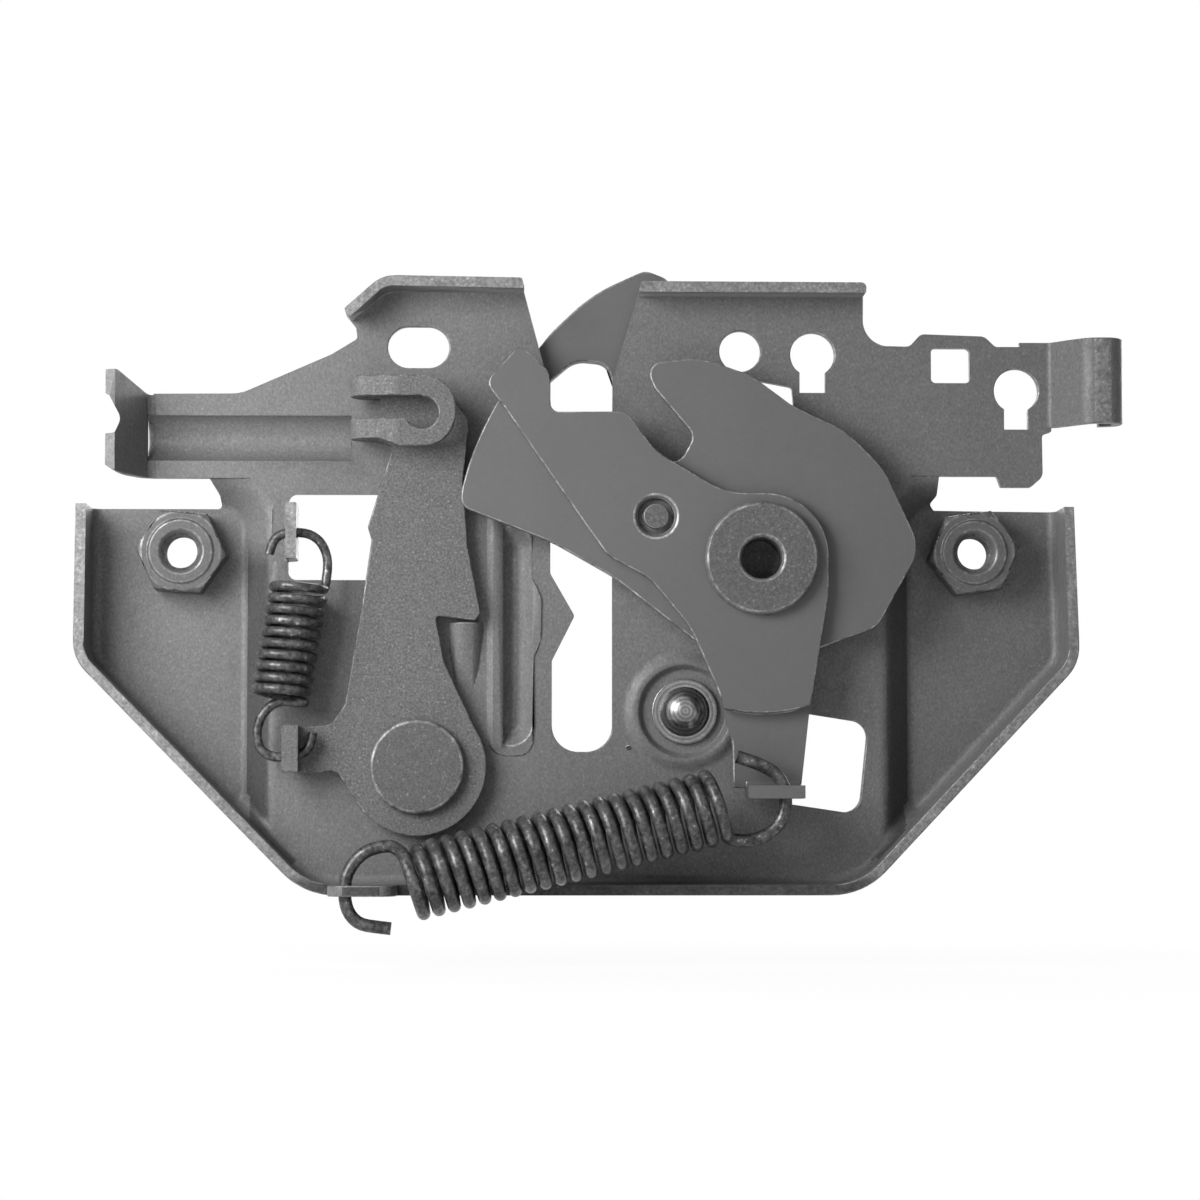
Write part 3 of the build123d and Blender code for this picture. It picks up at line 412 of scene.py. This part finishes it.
def rolledEdges(node, look):
    slot = slotOf[node]
    piece = nodes[node].copy()
    piece.data = nodes[node].data.copy()
    piece.name = node + "_finished"
    piece.parent = None
    piece.matrix_world = nodes[node].matrix_world.copy()
    bpy.context.collection.objects.link(piece)
    pick(piece)
    dress(piece, finishes[slot], worn[slot])
    bpy.ops.object.mode_set(mode="EDIT")
    bpy.ops.mesh.select_all(action="SELECT")
    if look["turn"]:
        low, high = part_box(node)
        middle = [(a + b) / 2 for a, b in zip(low, high)]
        bpy.ops.transform.rotate(value=math.radians(look["turn"]), orient_axis="Y",
                                 center_override=middle)
    bpy.ops.mesh.remove_doubles(threshold=look["merge"] * mm)
    bpy.ops.mesh.dissolve_limited(angle_limit=flatWithin)
    bpy.ops.mesh.select_all(action="DESELECT")
    bpy.ops.mesh.select_mode(type="EDGE")
    bpy.ops.mesh.edges_select_sharp(sharpness=sharpBeyond)
    bpy.ops.object.mode_set(mode="OBJECT")
    for face in piece.data.polygons:
        face.material_index = faceOf["coated"]
    weighRuns(piece.data, look["shortest"] * mm)
    bpy.ops.object.shade_smooth_by_angle(angle=smoothWithin)
    roll = piece.modifiers.new("roll", "BEVEL")
    roll.width = look["width"] * mm
    roll.segments = look["steps"]
    roll.limit_method = "WEIGHT"
    roll.use_clamp_overlap = False
    roll.material = faceOf["worn"]
    bpy.ops.object.modifier_apply(modifier=roll.name)
    bpy.ops.object.shade_smooth_by_angle(angle=smoothWithin)
    if node == "base_plate":
        finishPlate(piece.data)
    level = piece.modifiers.new("level", "WEIGHTED_NORMAL")
    level.keep_sharp = True
    level.weight = 100                   # the largest faces decide, so flat sheet stays flat
    bpy.ops.object.modifier_apply(modifier=level.name)
    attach(piece, bodyOf[node])
    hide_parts(node)


for node, look in edges.items():
    rolledEdges(node, look)
for node, piece in nodes.items():
    if node not in edges:
        dress(piece, finishes[slotOf[node]])
print("steel pieces finished")


# Threads of the two weld nuts, turned rings that stand in the bore
thread = {
    "bore": 3.42, "crest": 3.12, "pitch": 1.25, "sides": 48,
    "frontGap": 0.9, "backGap": 0.2,
    "steps": (0.34, 0.1, 0.34, 0.22),    # shares of the pitch: rise, crest, fall, root
    "smooth": 25.0,
}


def nutThread(name, node):
    low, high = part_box(node)
    centre = Vector(((low[0] + high[0]) / 2, 0.0, (low[2] + high[2]) / 2))
    front = low[1] + thread["frontGap"] * mm
    back = high[1] - thread["backGap"] * mm
    pitch = thread["pitch"] * mm
    clearSelection()
    bpy.ops.mesh.primitive_circle_add(vertices=thread["sides"], radius=thread["bore"] * mm,
                                      location=(centre.x, front, centre.z),
                                      rotation=(math.radians(90.0), 0.0, 0.0))
    piece = bpy.context.object
    piece.name = name
    settle(piece)
    bpy.ops.object.mode_set(mode="EDIT")
    bpy.ops.mesh.select_all(action="SELECT")
    widths = (thread["crest"] / thread["bore"], 1.0, thread["bore"] / thread["crest"], 1.0)
    depth = front
    for turn in range(int((back - front) / pitch)):
        for widen, share in zip(widths, thread["steps"]):
            step = share * pitch
            depth += step
            bpy.ops.mesh.extrude_region_move(TRANSFORM_OT_translate={"value": (0.0, step, 0.0)})
            if widen != 1.0:
                bpy.ops.transform.resize(value=(widen, 1.0, widen),
                                         center_override=(centre.x, depth, centre.z))
    bpy.ops.mesh.select_all(action="SELECT")
    bpy.ops.mesh.normals_make_consistent(inside=True)
    bpy.ops.object.mode_set(mode="OBJECT")
    bpy.ops.object.shade_smooth_by_angle(angle=math.radians(thread["smooth"]))
    dress(piece, worn["nut_steel"])
    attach(piece, "plate")


nutThread("nutThreadLeft", "weld_nut_left")
nutThread("nutThreadRight", "weld_nut_right")
print("nuts threaded")


# Springs, each wound from one length of wire
wireLook = {"roundness": 5, "perPoint": 3, "order": 3, "merge": 0.002, "pointsPerTurn": 20}


def wirePiece(name, points, radius):
    curve = bpy.data.curves.new(name, "CURVE")
    curve.dimensions = "3D"
    curve.bevel_depth = radius * mm
    curve.bevel_resolution = wireLook["roundness"]
    curve.use_fill_caps = True
    curve.resolution_u = wireLook["perPoint"]
    spline = curve.splines.new("NURBS")
    spline.points.add(len(points) - 1)
    for spot, point in zip(spline.points, points):
        spot.co = (point.x, point.y, point.z, 1.0)
    spline.order_u = wireLook["order"]
    spline.use_endpoint_u = True
    piece = bpy.data.objects.new(name, curve)
    bpy.context.collection.objects.link(piece)
    pick(piece)
    bpy.ops.object.convert(target="MESH")
    piece = bpy.context.object
    piece.name = name
    bpy.ops.object.mode_set(mode="EDIT")
    bpy.ops.mesh.select_all(action="SELECT")
    bpy.ops.mesh.remove_doubles(threshold=wireLook["merge"] * mm)
    bpy.ops.mesh.normals_make_consistent(inside=False)
    bpy.ops.object.mode_set(mode="OBJECT")
    bpy.ops.object.shade_smooth_by_angle(angle=smoothWithin)
    dress(piece, finishes["spring_steel"])
    return piece


def millimetres(*places):
    return [Vector(place) * mm for place in places]


def coilPoints(start, end, towards, turns, radius):
    axis = (end - start).normalized()
    side = (towards - axis * towards.dot(axis)).normalized()
    across = axis.cross(side)
    count = int(turns * wireLook["pointsPerTurn"])
    points = []
    for step in range(count + 1):
        turn = step / wireLook["pointsPerTurn"] * math.tau
        along = start + (end - start) * (step / count)
        points.append(along + (side * math.cos(turn) + across * math.sin(turn)) * radius)
    return points


def tensionSpring(name, node, spring):
    start, end = millimetres(spring["start"], spring["end"])
    wire = millimetres(*spring["plateHook"])
    wire += coilPoints(start, end, Vector(spring["towards"]), spring["turns"], spring["radius"] * mm)
    wire += millimetres(*spring["movingHook"])
    piece = wirePiece(name, wire, spring["wire"])
    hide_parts(node)
    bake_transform(piece)


# From the plate's tongue to the lifter's tail
mainSpring = {
    "start": (-31.5, -22.8, -62.3), "end": (26.0, -19.2, -48.0),
    "turns": 20.5, "radius": 6.05, "wire": 1.22, "towards": (0.0, 0.0, 1.0),
    "plateHook": [(-34.7, -22.8, -70.5), (-37.4, -22.8, -70.2), (-40.6, -22.8, -69.7),
                  (-42.6, -22.8, -67.6), (-43.3, -22.8, -64.6), (-43.1, -22.8, -61.0),
                  (-41.4, -22.8, -57.9), (-38.7, -22.8, -55.9), (-35.4, -22.8, -55.3),
                  (-34.2, -22.8, -55.5)],
    "movingHook": [(28.6, -19.2, -54.2), (31.0, -19.2, -54.5), (34.6, -19.2, -53.6),
                   (37.2, -19.2, -51.3), (38.4, -19.2, -48.0), (38.1, -19.2, -44.6),
                   (36.6, -19.2, -41.9), (33.4, -19.2, -40.2), (31.0, -19.2, -39.4),
                   (29.2, -19.2, -38.8)],
}
tensionSpring("mainSpringWire", "main_spring", mainSpring)

# From the plate's tab to the release lever's tab
returnSpring = {
    "start": (-52.3, -13.3, -6.7), "end": (-55.9, -13.3, -27.9),
    "turns": 10.0, "radius": 4.8, "wire": 0.9, "towards": (1.0, 0.0, 0.0),
    "plateHook": [(-58.0, -13.3, -0.9), (-57.6, -13.3, 1.2), (-56.0, -13.3, 2.9),
                  (-53.6, -13.3, 3.2), (-50.8, -13.3, 3.1), (-48.7, -13.3, 1.9),
                  (-47.4, -13.3, -0.2), (-46.9, -13.3, -2.8)],
    "movingHook": [(-52.9, -13.3, -28.6), (-56.3, -13.3, -28.3), (-59.0, -13.3, -30.4),
                   (-60.3, -13.3, -33.8), (-59.8, -13.3, -37.2), (-57.4, -13.3, -38.9),
                   (-54.0, -13.3, -38.8), (-51.4, -13.3, -38.2), (-50.0, -13.3, -36.6),
                   (-49.7, -13.3, -34.3)],
}
tensionSpring("returnSpringWire", "return_spring", returnSpring)

# Round the dome pin behind the plate, one leg in the plate and one on the safety hook
hairpin = {
    "centre": (20.1, -1.5, -30.1), "radius": 3.9, "wire": 0.5,
    "bendFrom": -90.0, "bendStep": 7.5, "bendPoints": 13,                    # degrees round the pin
    "plateLeg": [(9.5, -6.6, -37.0), (9.5, -3.6, -37.0), (9.5, -1.6, -37.0), (10.4, -1.5, -36.8),
                 (14.6, -1.5, -35.6), (18.4, -1.5, -34.4)],
    "hookLeg": [(24.6, -1.5, -27.0), (25.6, -1.5, -20.2), (26.6, -1.5, -12.6), (26.7, -1.9, -12.0),
                (26.7, -4.2, -11.9)],
    "blendFrom": (0.0155, -0.0015, -0.0345), "blendTo": (0.0243, -0.0015, -0.0262),      # in metres
}
middle = Vector(hairpin["centre"]) * mm
hairpinWire = millimetres(*hairpin["plateLeg"])
for step in range(hairpin["bendPoints"]):
    turn = math.radians(hairpin["bendFrom"] + hairpin["bendStep"] * step)
    hairpinWire.append(middle + Vector((math.cos(turn), 0.0, math.sin(turn))) * hairpin["radius"] * mm)
hairpinWire += millimetres(*hairpin["hookLeg"])
piece = wirePiece("hairpinWire", hairpinWire, hairpin["wire"])
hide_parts("safety_spring")
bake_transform(piece)
print("springs wound")
